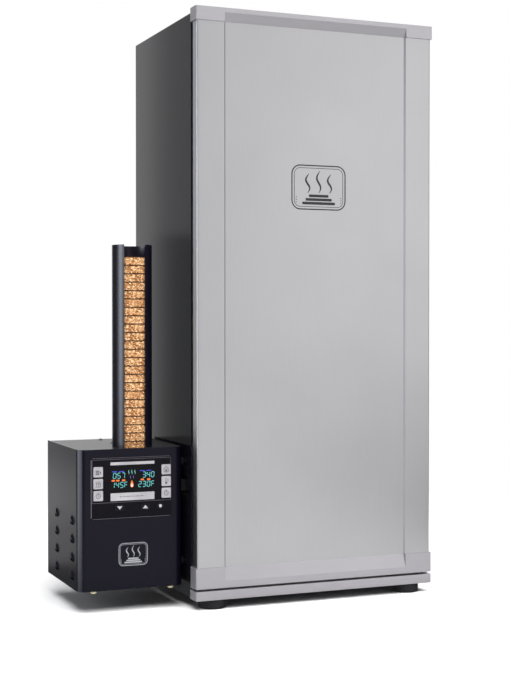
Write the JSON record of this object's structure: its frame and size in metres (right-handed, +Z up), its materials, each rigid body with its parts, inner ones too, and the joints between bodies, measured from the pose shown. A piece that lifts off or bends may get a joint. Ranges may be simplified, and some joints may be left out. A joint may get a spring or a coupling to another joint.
{
  "type": "electric cabinet smoker",
  "caption": "Tall insulated smoking cabinet with a hinged steel door, inner racks and a roof vent, and a side smoke generator that is fed wood pucks from a slotted tube.",
  "frame": {"origin": "on the floor, under the middle of the whole object's box", "axes": "+Z up; the door and the control panel face -Y; +X is to the right of someone who faces the door"},
  "size_m": [0.617, 0.358, 0.99],
  "materials": {
    "door_steel": "vertically brushed satin stainless sheet",
    "cap_grey": "satin silver-grey moulding",
    "trim_steel": "satin stainless channel",
    "shell_black": "semi-gloss black powder coat",
    "inner_steel": "bright inner sheet",
    "tray_steel": "satin sheet",
    "rack_wire": "bright plated wire",
    "wool": "mineral wool batt",
    "foot_rubber": "matt black rubber",
    "zinc_steel": "bright zinc plate",
    "bolt_black": "black zinc plate",
    "vent_black": "satin black paint",
    "heater_sheath": "heat-tinted steel sheath",
    "probe_steel": "bright steel",
    "inlet_black": "black thermoplastic",
    "gasket_black": "soft black seal",
    "emblem_print": "thin printed plate",
    "mark_print": "thin printed plate",
    "generator_black": "semi-gloss black powder coat",
    "lid_grey": "semi-gloss black lid",
    "bumper_cream": "pale bumper rubber",
    "tube_black": "satin black paint",
    "pressed_wood": "compressed wood flakes",
    "deck_steel": "heat-proof black paint on steel",
    "burner_aluminium": "cast heated plate",
    "pusher_aluminium": "machined slide",
    "pinion_steel": "cut steel",
    "motor_grey": "grey motor casing",
    "board_green": "solder-masked board",
    "bezel_black": "black moulded bezel",
    "display_dark": "dark display window",
    "key_silver": "silver printed key",
    "key_black": "black key"
  },
  "bodies": {
    "cabinet": {"base_trim": "trim_steel", "outer_shell": "shell_black", "back_panel": "shell_black", "base_pan": "shell_black", "terminal_cover": "shell_black", "inner_liner": "inner_steel", "rack_rails": "inner_steel", "drip_tray": "tray_steel", "water_bowl": "tray_steel", "wire_rack_1": "rack_wire", "wire_rack_2": "rack_wire", "wire_rack_3": "rack_wire", "wire_rack_4": "rack_wire", "wire_rack_5": "rack_wire", "wire_rack_6": "rack_wire", "wall_insulation": "wool", "cabinet_feet": "foot_rubber", "top_hinge_bracket": "zinc_steel", "bottom_hinge_pin": "zinc_steel", "panel_screws": "zinc_steel", "hanger_bolts": "bolt_black", "vent_collar": "vent_black", "heating_element": "heater_sheath", "temperature_probe": "probe_steel", "cabinet_inlet": "inlet_black", "generator_inlet": "inlet_black", "generator_emblem": "mark_print", "generator_shell": "generator_black", "generator_base": "generator_black", "generator_back_cover": "generator_black", "generator_top_plate": "lid_grey", "generator_feet": "bumper_cream", "feed_tube": "tube_black", "wood_pucks": "pressed_wood", "puck_deck": "deck_steel", "burner_plate": "burner_aluminium", "gear_motor": "motor_grey", "control_board": "board_green", "control_panel": "bezel_black", "display_window": "display_dark"},
    "door": {"door_skin": "door_steel", "door_cap_top": "cap_grey", "door_cap_bottom": "cap_grey", "door_liner": "inner_steel", "door_insulation": "wool", "door_gasket": "gasket_black", "door_emblem": "emblem_print"},
    "vent_damper": {"vent_damper": "vent_black"},
    "pusher": {"pusher": "pusher_aluminium", "deck_pucks": "pressed_wood"},
    "drive_pinion": {"drive_pinion": "pinion_steel"},
    "key_left_1": {"key_left_1": "key_silver"},
    "key_left_2": {"key_left_2": "key_silver"},
    "key_left_3": {"key_left_3": "key_silver"},
    "key_right_1": {"key_right_1": "key_silver"},
    "key_right_2": {"key_right_2": "key_silver"},
    "key_right_3": {"key_right_3": "key_silver"},
    "down_key": {"down_key": "key_black"},
    "up_key": {"up_key": "key_black"},
    "power_key": {"power_key": "key_black"}
  },
  "joints": [
    {"name": "door_hinge", "type": "hinge", "parent": "cabinet", "child": "door", "pos_m": [0.303, -0.163, 0.5], "axis": [0, 0, 1], "range_deg": [0, 120]},
    {"name": "vent_turn", "type": "hinge", "parent": "cabinet", "child": "vent_damper", "pos_m": [0.0925, -0.004, 0.97], "axis": [0, 0, 1], "range_deg": [0, 45]},
    {"name": "pusher_slide", "type": "slide", "parent": "cabinet", "child": "pusher", "axis": [1, 0, 0], "range_m": [0, 0.061]},
    {"name": "pinion_spin", "type": "hinge", "parent": "cabinet", "child": "drive_pinion", "pos_m": [-0.2275, -0.04085, 0.18], "axis": [0, 0, 1], "range_deg": [0, 292]},
    {"name": "key_left_1_press", "type": "slide", "parent": "cabinet", "child": "key_left_1", "axis": [0, 1, 0], "range_m": [0, 0.001], "stiffness_N_per_m": 400, "springref_m": -0.0005},
    {"name": "key_left_2_press", "type": "slide", "parent": "cabinet", "child": "key_left_2", "axis": [0, 1, 0], "range_m": [0, 0.001], "stiffness_N_per_m": 400, "springref_m": -0.0005},
    {"name": "key_left_3_press", "type": "slide", "parent": "cabinet", "child": "key_left_3", "axis": [0, 1, 0], "range_m": [0, 0.001], "stiffness_N_per_m": 400, "springref_m": -0.0005},
    {"name": "key_right_1_press", "type": "slide", "parent": "cabinet", "child": "key_right_1", "axis": [0, 1, 0], "range_m": [0, 0.001], "stiffness_N_per_m": 400, "springref_m": -0.0005},
    {"name": "key_right_2_press", "type": "slide", "parent": "cabinet", "child": "key_right_2", "axis": [0, 1, 0], "range_m": [0, 0.001], "stiffness_N_per_m": 400, "springref_m": -0.0005},
    {"name": "key_right_3_press", "type": "slide", "parent": "cabinet", "child": "key_right_3", "axis": [0, 1, 0], "range_m": [0, 0.001], "stiffness_N_per_m": 400, "springref_m": -0.0005},
    {"name": "down_key_press", "type": "slide", "parent": "cabinet", "child": "down_key", "axis": [0, 1, 0], "range_m": [0, 0.001], "stiffness_N_per_m": 400, "springref_m": -0.0005},
    {"name": "up_key_press", "type": "slide", "parent": "cabinet", "child": "up_key", "axis": [0, 1, 0], "range_m": [0, 0.001], "stiffness_N_per_m": 400, "springref_m": -0.0005},
    {"name": "power_key_press", "type": "slide", "parent": "cabinet", "child": "power_key", "axis": [0, 1, 0], "range_m": [0, 0.001], "stiffness_N_per_m": 400, "springref_m": -0.0005}
  ],
  "couplings": [
    {"joint": "pinion_spin", "follows": "pusher_slide", "rad_per_m": 83.333}
  ]
}
